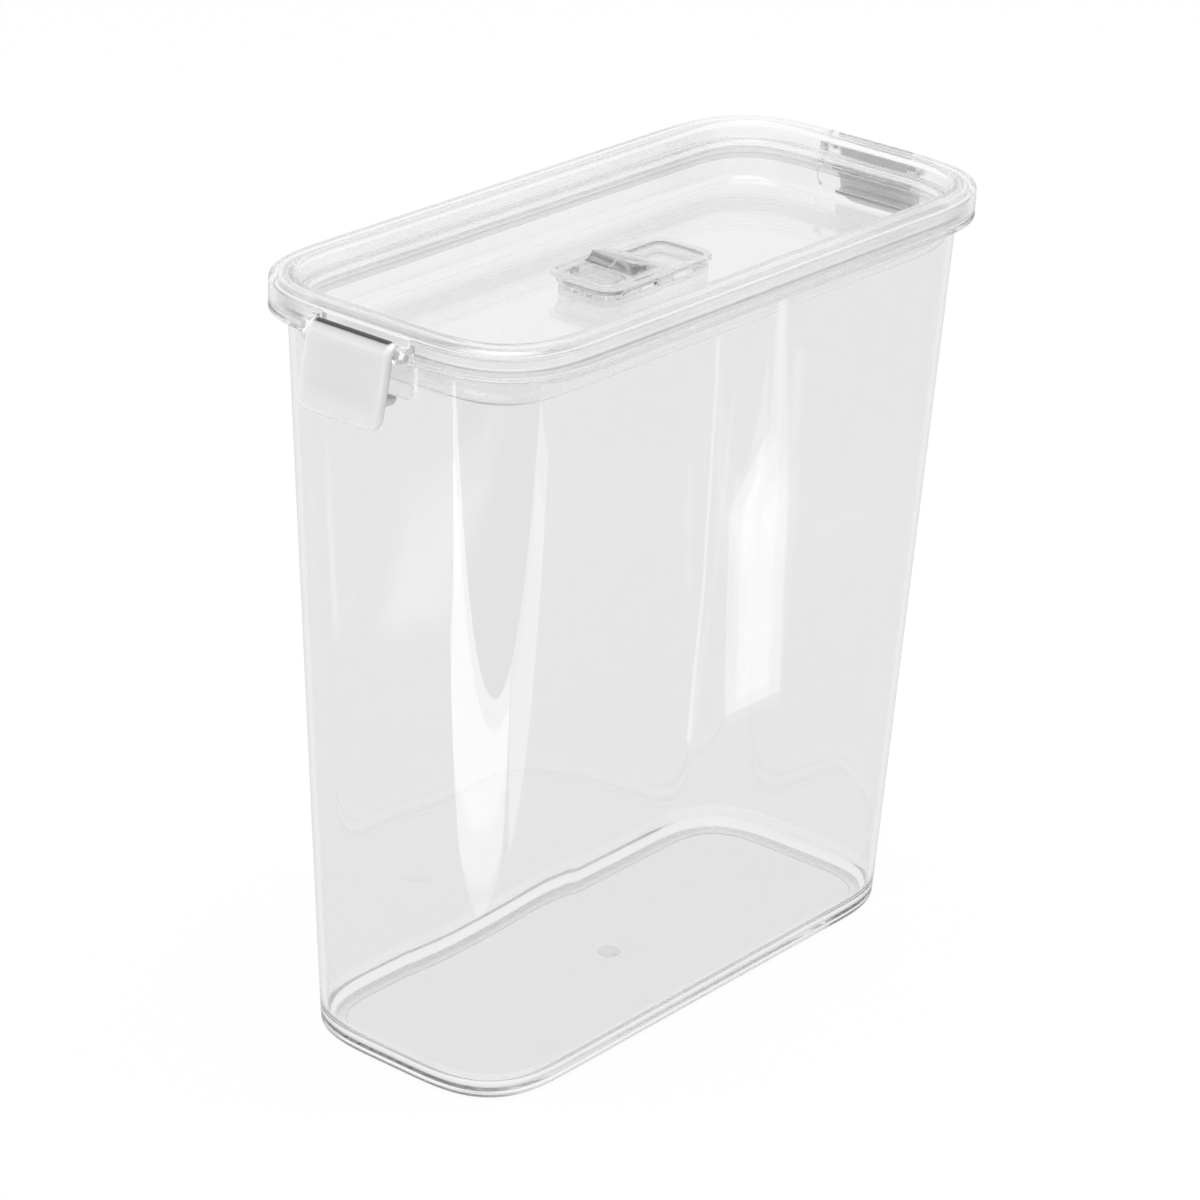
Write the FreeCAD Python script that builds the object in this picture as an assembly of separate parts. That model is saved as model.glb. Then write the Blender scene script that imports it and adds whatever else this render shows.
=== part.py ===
"""Clear airtight storage container: tapered tub, recessed lid, two clip latches and a sliding air vent.

Millimetres. X runs along the length, Y across the width and Z up. The origin is the middle of the
foot, on the surface that the container stands on.
"""
import math
import os

import FreeCAD
import Part

# Outside of the tub, at its foot and just under its rim flange
total_height = 240.0
mouth_length = 219.4
mouth_width = 96.0
mouth_radius = 24.0
base_length = 199.0
base_width = 82.6
base_radius = 24.4

# Tub walls, floor and foot
tub_wall = 2.0
tub_floor = 2.4
floor_fillet = 6.0
foot_fillet = 3.0
foot_ring_width = 5.0
foot_recess = 0.8
gate_mark_radius = 3.6
gate_mark_height = 0.3

# Rim, counted outwards from the tub's outside at the mouth, and down from the top of the lid
rim_overhang = 5.4
skirt_height = 8.0
skirt_thickness = 2.0
skirt_clearance = 0.4
upstand_thickness = 2.0
upstand_clearance = 0.4
flange_thickness = 1.9
flange_gap = 0.4

# Lid walls and well
lid_wall = 2.0
lid_top_thickness = 2.2
well_depth = 18.0
rim_outer_fillet = 2.0
rim_inner_fillet = 1.2
well_fillet = 3.0

# Soft ring between lid and tub
gasket_height = 1.2
gasket_gap = 1.2
gasket_edge_gap = 0.3
gasket_fit = 0.05
gasket_lip_length = 3.0
gasket_lip_gap = 0.45
plug_clearance = 1.4

# Clip latches, their ears on the lid and their catch tabs on the tub
latch_width = 31.0
latch_drop = 20.7
latch_thickness = 2.8
latch_lean_deg = 12.1
latch_reach = 3.5
latch_corner_radius = 4.5
latch_top_radius = 3.0
pivot_drop = 5.8
swing_gap = 0.4
barrel_radius = 2.3
pin_radius = 1.3
pin_clearance = 0.06
ear_thickness = 2.6
ear_side_gap = 0.5
ear_radius = 2.9
notch_roof = 2.3
tab_width = 40.0
tab_thickness = 2.0
tab_reach = 2.3
tab_drop = 8.2
tab_corner_radius = 3.0
hook_width = 26.0
hook_thickness = 2.2
hook_gap = 0.3
hook_engagement = 1.5

# Sliding vent in the middle of the lid's well
vent_length = 51.0
vent_width = 23.4
vent_radius = 6.0
vent_height = 5.6
vent_wall = 1.6
vent_rail_height = 1.6
vent_rail_overhang = 0.9
vent_tray_depth = 2.4
vent_plate = 1.4
air_hole_radius = 1.5
air_hole_spacing = 5.0
air_hole_count = 3
slider_length = 30.5
slider_travel = 20.0
slider_plate = 1.5
slider_lip = 0.9
slider_lip_drop = 1.2
slider_clearance = 0.25
slider_lift = 0.1
slider_front_overhang = 1.0
slider_rear_radius = 1.2
clip_foot_length = 7.5
clip_foot_hook = 0.8
clip_foot_hook_height = 1.0
ridge_height = 2.2
ridge_width = 18.6
ridge_length = 9.0
ridge_setback = 18.0
ridge_scoop_radius = 3.2
seal_length = 9.0
seal_radius = 4.4
seal_margin = 1.7
seal_wall = 1.3
seal_fit = 0.1
seal_squeeze_gap = 0.2

# How close two coordinates have to be to count as the same
tolerance = 1e-4

# Heights worked out from the values above
skirt_bottom = total_height - skirt_height
flange_top = skirt_bottom - flange_gap
flange_bottom = flange_top - flange_thickness
channel_roof = total_height - lid_top_thickness
upstand_top = channel_roof - upstand_clearance
ledge_bottom = flange_top + gasket_height
ledge_top = ledge_bottom + lid_wall
well_floor = total_height - well_depth
lid_underside = well_floor - lid_wall

# Insets and outsets of the mouth outline, positive outwards
skirt_inside = rim_overhang - skirt_thickness
upstand_outside = skirt_inside - skirt_clearance
upstand_inside = upstand_outside - upstand_thickness
plug_neck = upstand_inside - gasket_gap
well_mouth = plug_neck - lid_wall
plug_outside = -tub_wall - plug_clearance
well_inside = plug_outside - lid_wall

# Latch pivot, and the tab that the hook catches
lid_end = mouth_length / 2 + rim_overhang
latch_lean = math.radians(latch_lean_deg)
pivot_x = lid_end + latch_reach + swing_gap
pivot_z = total_height - pivot_drop
tab_face = lid_end + tab_reach
tab_bottom = flange_bottom - tab_drop
ear_inside = latch_width / 2 + ear_side_gap

# Vent heights, its tray and its slider
vent_top = well_floor + vent_height
tray_floor = vent_top - vent_tray_depth
tray_inset = vent_rail_overhang + vent_wall
tray_length = vent_length - 2 * tray_inset
tray_width = vent_width - 2 * tray_inset
tray_radius = vent_radius - tray_inset
slider_bottom = vent_top + slider_lift
slider_top = slider_bottom + slider_plate
slider_front = -vent_length / 2 - slider_front_overhang
slider_width = vent_width + 2 * (slider_clearance + slider_lip)
air_hole_x = slider_front + slider_travel / 2


def rounded_wire(length, width, radius, z):
    """A closed outline of four straight sides and four corner arcs, centred on the Z axis.

    The corner radius is limited by the shorter side.
    """
    half_x = length / 2
    half_y = width / 2
    radius = min(radius, half_x - tolerance, half_y - tolerance)
    edges = []
    corners = [(1, 1, 0), (-1, 1, 90), (-1, -1, 180), (1, -1, 270)]
    ends = []
    for side_x, side_y, start in corners:
        centre = FreeCAD.Vector(side_x * (half_x - radius), side_y * (half_y - radius), z)
        points = []
        for turn in (0, 45, 90):
            angle = math.radians(start + turn)
            points.append(centre + FreeCAD.Vector(radius * math.cos(angle), radius * math.sin(angle), 0))
        ends.append(points)
    for index, points in enumerate(ends):
        following = ends[(index + 1) % len(ends)]
        edges.append(Part.Arc(*points).toShape())
        edges.append(Part.LineSegment(points[2], following[0]).toShape())
    return Part.Wire(edges)


def rounded_prism(length, width, radius, bottom, top):
    """An upright block with rounded corners between two heights."""
    face = Part.Face(rounded_wire(length, width, radius, bottom))
    return face.extrude(FreeCAD.Vector(0, 0, top - bottom))


def mouth_size(offset):
    """Length, width and corner radius of the mouth outline moved outwards by an offset."""
    return mouth_length + 2 * offset, mouth_width + 2 * offset, mouth_radius + offset


def mouth_prism(offset, bottom, top):
    """An upright block whose outline follows the mouth at an offset."""
    return rounded_prism(*mouth_size(offset), bottom, top)


def tub_size(offset, z):
    """Length, width and corner radius of the tapered tub wall at a height, moved outwards by an offset."""
    share = z / flange_bottom
    sizes = []
    for at_base, at_mouth in (
        (base_length, mouth_length),
        (base_width, mouth_width),
        (base_radius, mouth_radius),
    ):
        sizes.append(at_base + (at_mouth - at_base) * share)
    return sizes[0] + 2 * offset, sizes[1] + 2 * offset, sizes[2] + offset


def tapered_block(offset, bottom, top):
    """A block that follows the tub's taper at an offset."""
    wires = [rounded_wire(*tub_size(offset, z), z) for z in (bottom, top)]
    return Part.makeLoft(wires, True, True)


def level_edges(shape, z):
    """The edges of a shape that lie flat at one height."""
    found = []
    for edge in shape.Edges:
        box = edge.BoundBox
        if abs(box.ZMin - z) < tolerance and abs(box.ZMax - z) < tolerance:
            found.append(edge)
    return found


def box_between(low, high):
    """A box from its lowest to its highest corner."""
    size = [b - a for a, b in zip(low, high)]
    return Part.makeBox(*size, FreeCAD.Vector(*low))


def upright_profile(points, half_width):
    """A profile of (x, z) points carried across the width."""
    corners = [FreeCAD.Vector(x, -half_width, z) for x, z in points]
    face = Part.Face(Part.makePolygon(corners + corners[:1]))
    return face.extrude(FreeCAD.Vector(0, 2 * half_width, 0))


def cross_cylinder(radius, x, z, low_y, high_y):
    """A cylinder that lies across the width."""
    start = FreeCAD.Vector(x, low_y, z)
    return Part.makeCylinder(radius, high_y - low_y, start, FreeCAD.Vector(0, 1, 0))


def at_front(shape):
    """The same piece turned half a turn about Z, from the rear end to the front end."""
    turned = shape.copy()
    turned.rotate(FreeCAD.Vector(0, 0, 0), FreeCAD.Vector(0, 0, 1), 180)
    return turned


def catch_tab():
    """The plate that hangs from the rear end of the rim flange, for the latch's hook.

    Its shelf leaves room above it for the latch's barrel to turn.
    """
    outline = rounded_prism(tab_width, 2 * tab_drop, tab_corner_radius, 0, tab_thickness)
    outline.rotate(FreeCAD.Vector(0, 0, 0), FreeCAD.Vector(1, 0, 0), 90)
    outline.rotate(FreeCAD.Vector(0, 0, 0), FreeCAD.Vector(0, 0, 1), 90)
    outline.translate(FreeCAD.Vector(tab_face - tab_thickness, 0, flange_bottom))
    plate = outline.common(box_between(
        (tab_face - tab_thickness, -tab_width / 2, tab_bottom), (tab_face, tab_width / 2, flange_bottom)))
    shelf = box_between(
        (mouth_length / 2, -tab_width / 2, flange_bottom), (tab_face, tab_width / 2, flange_top))
    room = cross_cylinder(barrel_radius + swing_gap, pivot_x, pivot_z, -ear_inside, ear_inside)
    return plate.fuse(shelf).cut(room)


def make_tub():
    """Tapered body with a rounded foot, a flange, an upstand and two catch tabs."""
    body = tapered_block(0, 0, flange_bottom)
    body = body.makeFillet(foot_fillet, level_edges(body, 0))
    body = body.fuse(mouth_prism(rim_overhang, flange_bottom, flange_top))
    body = body.fuse(mouth_prism(upstand_outside, flange_top, upstand_top))
    body = body.fuse([catch_tab(), at_front(catch_tab())])
    hollow = tapered_block(-tub_wall, tub_floor, flange_bottom)
    hollow = hollow.makeFillet(floor_fillet, level_edges(hollow, tub_floor))
    throat = mouth_prism(-tub_wall, flange_bottom, flange_top)
    mouth = mouth_prism(upstand_inside, flange_top, upstand_top)
    body = body.cut([hollow, throat, mouth])
    inset = -foot_fillet - foot_ring_width
    recess = rounded_prism(*tub_size(inset, 0), 0, foot_recess)
    mark = Part.makeCylinder(
        gate_mark_radius, gate_mark_height, FreeCAD.Vector(0, 0, foot_recess - gate_mark_height))
    return body.cut(recess.cut(mark)).removeSplitter()


def lid_ear(low_y):
    """One rounded ear at the rear end, which holds a latch pin."""
    high_y = low_y + ear_thickness
    root = lid_end - skirt_thickness / 2
    knuckle = cross_cylinder(ear_radius, pivot_x, pivot_z, low_y, high_y)
    arm = box_between((root, low_y, pivot_z - ear_radius), (pivot_x, high_y, pivot_z + ear_radius))
    room = box_between((root, low_y, skirt_bottom), (pivot_x + ear_radius, high_y, total_height))
    return knuckle.fuse(arm).common(room)


def lid_end_details():
    """What the rear end of the lid gains and loses for its latch."""
    ears = lid_ear(ear_inside).fuse(lid_ear(-ear_inside - ear_thickness))
    notch = box_between(
        (lid_end - skirt_thickness, -ear_inside, skirt_bottom),
        (lid_end, ear_inside, total_height - notch_roof))
    bore_end = ear_inside + ear_thickness
    bores = cross_cylinder(pin_radius + pin_clearance, pivot_x, pivot_z, -bore_end, bore_end)
    return ears, notch.fuse(bores)


def air_holes(bottom, top):
    """The row of small air holes across the vent."""
    holes = []
    for index in range(air_hole_count):
        y = (index - (air_hole_count - 1) / 2) * air_hole_spacing
        start = FreeCAD.Vector(air_hole_x, y, bottom)
        holes.append(Part.makeCylinder(air_hole_radius, top - bottom, start))
    return holes


def make_lid():
    """Recessed lid: a rim over the tub's upstand, a plug inside the mouth and a floor for the vent."""
    rim = mouth_prism(rim_overhang, skirt_bottom, total_height)
    rim = rim.makeFillet(rim_outer_fillet, level_edges(rim, total_height))
    body = rim.fuse(mouth_prism(plug_outside, lid_underside, ledge_bottom))
    under_ledge = mouth_prism(skirt_inside, skirt_bottom, ledge_bottom)
    under_ledge = under_ledge.cut(mouth_prism(plug_outside, skirt_bottom, ledge_bottom))
    channel = mouth_prism(skirt_inside, ledge_bottom, channel_roof)
    channel = channel.cut(mouth_prism(plug_neck, ledge_bottom, channel_roof))
    upper_well = mouth_prism(well_mouth, ledge_top, total_height)
    lower_well = mouth_prism(well_inside, well_floor, ledge_top)
    lower_well = lower_well.makeFillet(well_fillet, level_edges(lower_well, well_floor))
    body = body.cut([under_ledge, channel, upper_well, lower_well])
    body = body.makeFillet(rim_inner_fillet, inner_rim_edges(body))
    ears, cuts = lid_end_details()
    body = body.fuse([ears, at_front(ears)]).cut([cuts, at_front(cuts)])
    return body.cut(air_holes(lid_underside, well_floor)).removeSplitter()


def inner_rim_edges(shape):
    """The edges round the mouth of the lid's well."""
    half_length = mouth_length / 2 + well_mouth
    half_width = mouth_width / 2 + well_mouth
    edges = []
    for edge in level_edges(shape, total_height):
        box = edge.BoundBox
        reach_x = max(abs(box.XMin), abs(box.XMax))
        reach_y = max(abs(box.YMin), abs(box.YMax))
        if reach_x < half_length + tolerance and reach_y < half_width + tolerance:
            edges.append(edge)
    return edges


def make_lid_gasket():
    """Soft ring under the lid's ledge, with a lip that hangs inside the tub's mouth."""
    inside = plug_outside + gasket_fit
    lip_outside = -tub_wall - gasket_lip_gap
    lip_bottom = flange_top - gasket_lip_length
    seat = mouth_prism(upstand_inside - gasket_edge_gap, flange_top, ledge_bottom)
    lip = mouth_prism(lip_outside, lip_bottom, flange_top)
    return seat.fuse(lip).cut(mouth_prism(inside, lip_bottom, ledge_bottom)).removeSplitter()


def make_rear_latch():
    """Leaning panel that rolls over its pivot at the top, with moulded pins and a hook."""
    slope = math.tan(latch_lean)
    outside = latch_reach / math.cos(latch_lean)
    inside = outside - latch_thickness / math.cos(latch_lean)
    bottom = pivot_z - latch_drop
    half = latch_width / 2

    def face_x(start, z):
        return pivot_x + start + (pivot_z - z) * slope

    panel = upright_profile([
        (face_x(outside, pivot_z), pivot_z),
        (pivot_x, pivot_z),
        (face_x(inside, pivot_z - barrel_radius), pivot_z - barrel_radius),
        (face_x(inside, bottom), bottom),
        (face_x(outside, bottom), bottom),
    ], half)
    roll = cross_cylinder(latch_reach, pivot_x, pivot_z, -half, half)
    roll = roll.common(box_between(
        (pivot_x, -half, pivot_z - latch_reach * math.sin(latch_lean)),
        (pivot_x + latch_reach, half, pivot_z + latch_reach)))
    barrel = cross_cylinder(barrel_radius, pivot_x, pivot_z, -half, half)
    hook_top = tab_bottom - hook_gap
    hook_bottom = hook_top - hook_thickness
    hook_tip = tab_face - hook_engagement
    hook = upright_profile([
        (hook_tip, hook_top),
        (face_x(inside, hook_top) + latch_thickness / 2, hook_top),
        (face_x(inside, hook_bottom) + latch_thickness / 2, hook_bottom),
        (hook_tip + hook_thickness / 2, hook_bottom),
        (hook_tip, hook_bottom + hook_thickness / 2),
    ], hook_width / 2)
    plate = panel.fuse([roll, barrel]).common(latch_outline(bottom, pivot_z + latch_reach))
    pin_end = ear_inside + ear_thickness
    pins = cross_cylinder(pin_radius, pivot_x, pivot_z, -pin_end, pin_end)
    return plate.fuse([hook, pins]).removeSplitter()


def latch_outline(bottom, top):
    """The latch's face seen from its end: round lower corners, tighter upper ones, carried along X."""
    half = latch_width / 2
    low_x = pivot_x - barrel_radius
    high_x = pivot_x + latch_reach + (latch_drop + latch_reach) * math.tan(latch_lean) + latch_thickness
    block = box_between((low_x, -half, bottom), (high_x, half, top))
    for z, radius in ((bottom, latch_corner_radius), (top, latch_top_radius)):
        corners = [
            edge for edge in level_edges(block, z)
            if edge.BoundBox.YLength < tolerance
        ]
        block = block.makeFillet(radius, corners)
    return block


def make_vent_base():
    """Raised frame with a rail round its top, a shallow tray and the air holes."""
    body_inset = 2 * vent_rail_overhang
    rail_bottom = vent_top - vent_rail_height
    body = rounded_prism(
        vent_length - body_inset, vent_width - body_inset, vent_radius - vent_rail_overhang,
        well_floor, rail_bottom)
    rail = rounded_prism(vent_length, vent_width, vent_radius, rail_bottom, vent_top)
    tray = rounded_prism(tray_length, tray_width, tray_radius, tray_floor, vent_top)
    underside = rounded_prism(tray_length, tray_width, tray_radius, well_floor, tray_floor - vent_plate)
    frame = body.fuse(rail).cut([tray, underside])
    return frame.cut(air_holes(tray_floor - vent_plate, tray_floor)).removeSplitter()


def make_vent_seal():
    """Soft ring that fits the tray from side to side, stands round the air holes and meets the slider."""
    width = tray_width - 2 * seal_fit
    bore_length = 2 * (air_hole_radius + seal_margin)
    bore_width = width - 2 * seal_wall
    top = slider_bottom - seal_squeeze_gap
    outside = rounded_prism(seal_length, width, seal_radius, tray_floor, top)
    inside = rounded_prism(bore_length, bore_width, seal_radius - seal_wall, tray_floor, top)
    ring = outside.cut(inside)
    ring.translate(FreeCAD.Vector(air_hole_x, 0, 0))
    return ring


def make_vent_slider():
    """Cover plate with round front corners, side lips, clip feet under the rail and a finger ridge."""
    half = slider_width / 2
    rear = slider_front + slider_length
    plate = box_between((slider_front, -half, slider_bottom), (rear, half, slider_top))
    front_radius = vent_radius + slider_clearance
    for x, radius in ((slider_front, front_radius), (rear, slider_rear_radius)):
        corners = [
            edge for edge in plate.Edges
            if edge.BoundBox.ZLength > slider_plate / 2 and abs(edge.BoundBox.XMin - x) < tolerance
        ]
        plate = plate.makeFillet(radius, corners)
    rail_side = vent_width / 2 + slider_clearance
    rail_bottom = vent_top - vent_rail_height
    foot_front = rear - slider_rear_radius - clip_foot_length
    foot_rear = rear - slider_rear_radius
    hook_top = rail_bottom - slider_clearance
    hook_bottom = hook_top - clip_foot_hook_height
    pieces = []
    for side in (1, -1):
        lip = sorted((side * rail_side, side * half))
        hook = sorted((side * (rail_side - clip_foot_hook), side * half))
        pieces.append(box_between(
            (slider_front + front_radius, lip[0], slider_bottom - slider_lip_drop),
            (rear - slider_rear_radius, lip[1], slider_bottom)))
        pieces.append(box_between((foot_front, lip[0], hook_top), (foot_rear, lip[1], slider_bottom)))
        pieces.append(box_between((foot_front, hook[0], hook_bottom), (foot_rear, hook[1], hook_top)))
    pieces.append(finger_ridge())
    return plate.fuse(pieces).removeSplitter()


def finger_ridge():
    """A ridge across the slider: a scooped front face for the fingertip and a ramp behind it."""
    crest = slider_front + ridge_setback
    ridge = upright_profile([
        (crest, slider_top),
        (crest, slider_top + ridge_height),
        (crest + ridge_height / 2, slider_top + ridge_height),
        (crest + ridge_length, slider_top),
    ], ridge_width / 2)
    scoop_x = crest - ridge_scoop_radius + ridge_height / 4
    scoop = cross_cylinder(
        ridge_scoop_radius, scoop_x, slider_top + ridge_height / 2, -ridge_width / 2, ridge_width / 2)
    return ridge.cut(scoop)


os.makedirs("parts", exist_ok=True)
rear_latch = make_rear_latch()
nodes = {
    "tub": make_tub(),
    "lid": make_lid(),
    "lid_gasket": make_lid_gasket(),
    "rear_latch": rear_latch,
    "front_latch": at_front(rear_latch),
    "vent_base": make_vent_base(),
    "vent_seal": make_vent_seal(),
    "vent_slider": make_vent_slider(),
}
for name, shape in nodes.items():
    shape.exportStep(f"parts/{name}.step")
    box = shape.BoundBox
    print(
        f"{name}: {len(shape.Solids)} solid, valid {shape.isValid()}, {shape.Volume / 1000:.2f} cm3,",
        f"{box.XLength:.1f} x {box.YLength:.1f} x {box.ZLength:.1f}, z {box.ZMin:.1f} to {box.ZMax:.1f}")
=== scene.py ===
"""Looks of the clear airtight container: its moulded shells and soft seals, then stage, light and camera."""
import math
from itertools import compress

import bmesh
import bpy
import numpy as np
from mathutils import Matrix, Vector
from mathutils.geometry import tessellate_polygon


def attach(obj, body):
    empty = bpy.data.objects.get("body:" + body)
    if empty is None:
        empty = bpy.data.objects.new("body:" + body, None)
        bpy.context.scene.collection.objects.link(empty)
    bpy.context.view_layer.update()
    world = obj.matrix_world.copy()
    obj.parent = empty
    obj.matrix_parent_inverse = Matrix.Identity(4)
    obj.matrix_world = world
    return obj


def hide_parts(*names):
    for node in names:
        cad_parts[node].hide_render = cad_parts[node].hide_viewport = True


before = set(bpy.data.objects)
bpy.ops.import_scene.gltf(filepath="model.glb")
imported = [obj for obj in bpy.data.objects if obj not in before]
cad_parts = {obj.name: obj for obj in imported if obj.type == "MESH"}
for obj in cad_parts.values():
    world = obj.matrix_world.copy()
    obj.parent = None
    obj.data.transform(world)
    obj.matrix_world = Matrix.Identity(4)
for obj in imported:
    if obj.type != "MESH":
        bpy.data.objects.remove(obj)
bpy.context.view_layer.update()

# Tub
# One deep tapered box, injection moulded in water-clear styrene plastic with 2 mm walls. It stands on a
# narrow foot ring and ends in a flange and an upstand. A catch tab for a latch hangs at each short end.
mm = 0.001
mouth_half = np.array([109.7, 48.0, 24.0])
base_half = np.array([99.5, 41.3, 24.4])
tub_wall = 2.0
tub_floor = 2.4
flange_bottom = 229.7
flange_top = 231.6
rim_overhang = 5.4
upstand_outside = 3.0
upstand_inside = 1.0
upstand_top = 237.4
foot_ring = 8.0
foot_recess = 0.8
foot_fillet = 3.0
floor_fillet = 6.0
fillet_margin = 1.0
foot_frost = 3.0
row_margin = 0.05
foot_flat = 6.0
floor_flat = 12.0
least_corner = 0.5
plastic_ior = 1.57
gate_mark_radius = 3.6
gate_mark_height = 0.35
gate_mark_edge = 0.12
tab_half_width = 20.0
tab_face = 117.4
tab_bottom = 221.5
tab_corner = 3.0
hairline = 0.02


def rounded_profile(corners, closed=False, steps=6, guard=0.3):
    """A polyline of (x, y, radius) corners with each corner turned into an arc.

    An arc's centre lies on the corner's bisector, radius / sin(half angle) away, and the arc meets the
    straights at radius / tan(half angle). A guard point beside each end of an arc keeps the straights'
    shading flat.
    """
    corners = np.array(corners, float)
    spots, radius = corners[:, :2], corners[:, 2]
    before = np.roll(spots, 1, 0) - spots
    after = np.roll(spots, -1, 0) - spots
    to_before = before / np.linalg.norm(before, axis=1)[:, None]
    to_after = after / np.linalg.norm(after, axis=1)[:, None]
    half = np.arccos(np.clip((to_before * to_after).sum(1), -1, 1)) / 2
    touch = radius / np.tan(half)
    bisector = to_before + to_after
    bisector = bisector / np.maximum(np.linalg.norm(bisector, axis=1), 1e-9)[:, None]
    centre = spots + bisector * (radius / np.sin(half))[:, None]
    start = spots + to_before * touch[:, None] - centre
    end = spots + to_after * touch[:, None] - centre
    first = np.arctan2(start[:, 1], start[:, 0])
    turn = np.arctan2(start[:, 0] * end[:, 1] - start[:, 1] * end[:, 0], (start * end).sum(1))
    angle = first[:, None] + turn[:, None] * np.linspace(0, 1, steps + 1)
    arcs = centre[:, None] + radius[:, None, None] * np.stack([np.cos(angle), np.sin(angle)], -1)
    straight = np.linalg.norm(after, axis=1) - touch - np.roll(touch, -1)
    ahead = np.minimum(guard, straight / 3)
    behind = np.roll(ahead, 1)
    if not closed:
        ahead[-1] = 0
        behind[0] = 0
    leading = spots + to_before * (touch + behind)[:, None]
    trailing = spots + to_after * (touch + ahead)[:, None]
    return np.concatenate([leading[:, None], arcs, trailing[:, None]], 1).reshape(-1, 2)


bend_length = np.linspace(0, 1, 2001)
bend_ease = 0.8
bend_turn = math.pi / 2 * (bend_length - bend_ease * np.sin(2 * math.pi * bend_length) / (2 * math.pi))
bend_path = np.cumsum(np.stack([-np.sin(bend_turn), np.cos(bend_turn)], 1), 0)
bend_path = (bend_path - bend_path[0]) / (bend_path[-1, 1] - bend_path[0, 1]) + [1, 0]
bend_middle = bend_path[len(bend_path) // 2]
corner_stretch = (math.sqrt(2) - 1) / (math.sqrt(2) - np.linalg.norm(bend_middle))


def eased_corner(steps, marks=()):
    """Points on a quarter bend from (1, 0) to (0, 1), eased in and out as a toolmaker blends a wall.

    The bend's direction turns by 90 degrees * (s - ease * sin(360 s) / 360) along its length s, and its
    points are the running sum of those directions, scaled to the quarter.
    """
    places = np.sort([*np.linspace(0, 1, steps + 1), *marks])
    return np.stack([np.interp(places, bend_length, axis) for axis in bend_path.T], 1)


def columns_round(steps=32, marks=()):
    """Columns round a rounded rectangle: their place on its core rectangle and their way out to its corner.

    A quarter runs from the middle of an end, round a corner, to the middle of a side, and the other
    three quarters mirror it. Both are (x, y) shares from -1 to 1.
    """
    ends = np.array([0.0, 0.5, 0.9])
    sides = np.array([0.97, 0.6, 0.3, 0.0])
    along_end = np.stack([np.ones_like(ends), ends, np.ones_like(ends), np.zeros_like(ends)], 1)
    bend = eased_corner(steps, marks)
    corner = np.concatenate([np.ones_like(bend), bend], 1)
    along_side = np.stack([sides, np.ones_like(sides), np.zeros_like(sides), np.ones_like(sides)], 1)
    quarter = np.concatenate([along_end, corner, along_side])
    flip_x = np.array([-1, 1, -1, 1])
    flip_y = np.array([1, -1, 1, -1])
    return np.concatenate([
        quarter, quarter[-2::-1] * flip_x, quarter[1:] * flip_x * flip_y, quarter[-2:0:-1] * flip_y])


def sweep(profile, columns, outline):
    """Every profile point (offset, height) goes round the rounded rectangle of its height.

    The offset moves it out from that rectangle.
    """
    offset, height = profile.T
    half_x, half_y, radius = outline(height) + offset
    radius = np.maximum(radius, least_corner) * corner_stretch
    core_x, core_y, out_x, out_y = columns.T
    x = np.outer(half_x - radius, core_x) + np.outer(radius, out_x)
    y = np.outer(half_y - radius, core_y) + np.outer(radius, out_y)
    return np.stack([x, y, np.broadcast_to(height[:, None], x.shape)], -1)


def grid_faces(rows, columns, close_rows=False, close_columns=True):
    """Quads between neighbouring points of a grid, whose rows or columns may join end to end."""
    row = np.arange(rows if close_rows else rows - 1)[:, None]
    column = np.arange(columns if close_columns else columns - 1)[None, :]
    next_row = (row + 1) % rows
    next_column = (column + 1) % columns
    corners = [
        row * columns + column, row * columns + next_column,
        next_row * columns + next_column, next_row * columns + column]
    return np.stack(np.broadcast_arrays(*corners), -1).reshape(-1, 4)


def row_marks(marks, count, extra=0):
    """Marks given for each profile row, as values of its points. The extra points at the end carry none."""
    return {name: np.concatenate([np.repeat(rows, count), np.zeros(extra)]) for name, rows in marks.items()}


def cup(profile, columns, outline, marks):
    """A closed shell: the swept profile, shut by a flat face inside its first and its last row."""
    grid = sweep(profile, columns, outline)
    rows, count = grid.shape[:2]
    loop = np.arange(count)
    faces = grid_faces(rows, count).tolist()
    faces += [loop.tolist(), (loop + (rows - 1) * count).tolist()]
    return grid.reshape(-1, 3), faces, row_marks(marks, count)


def no_marks(y, l, h, inset):
    """A plain plate carries no marks."""
    return {}


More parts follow.
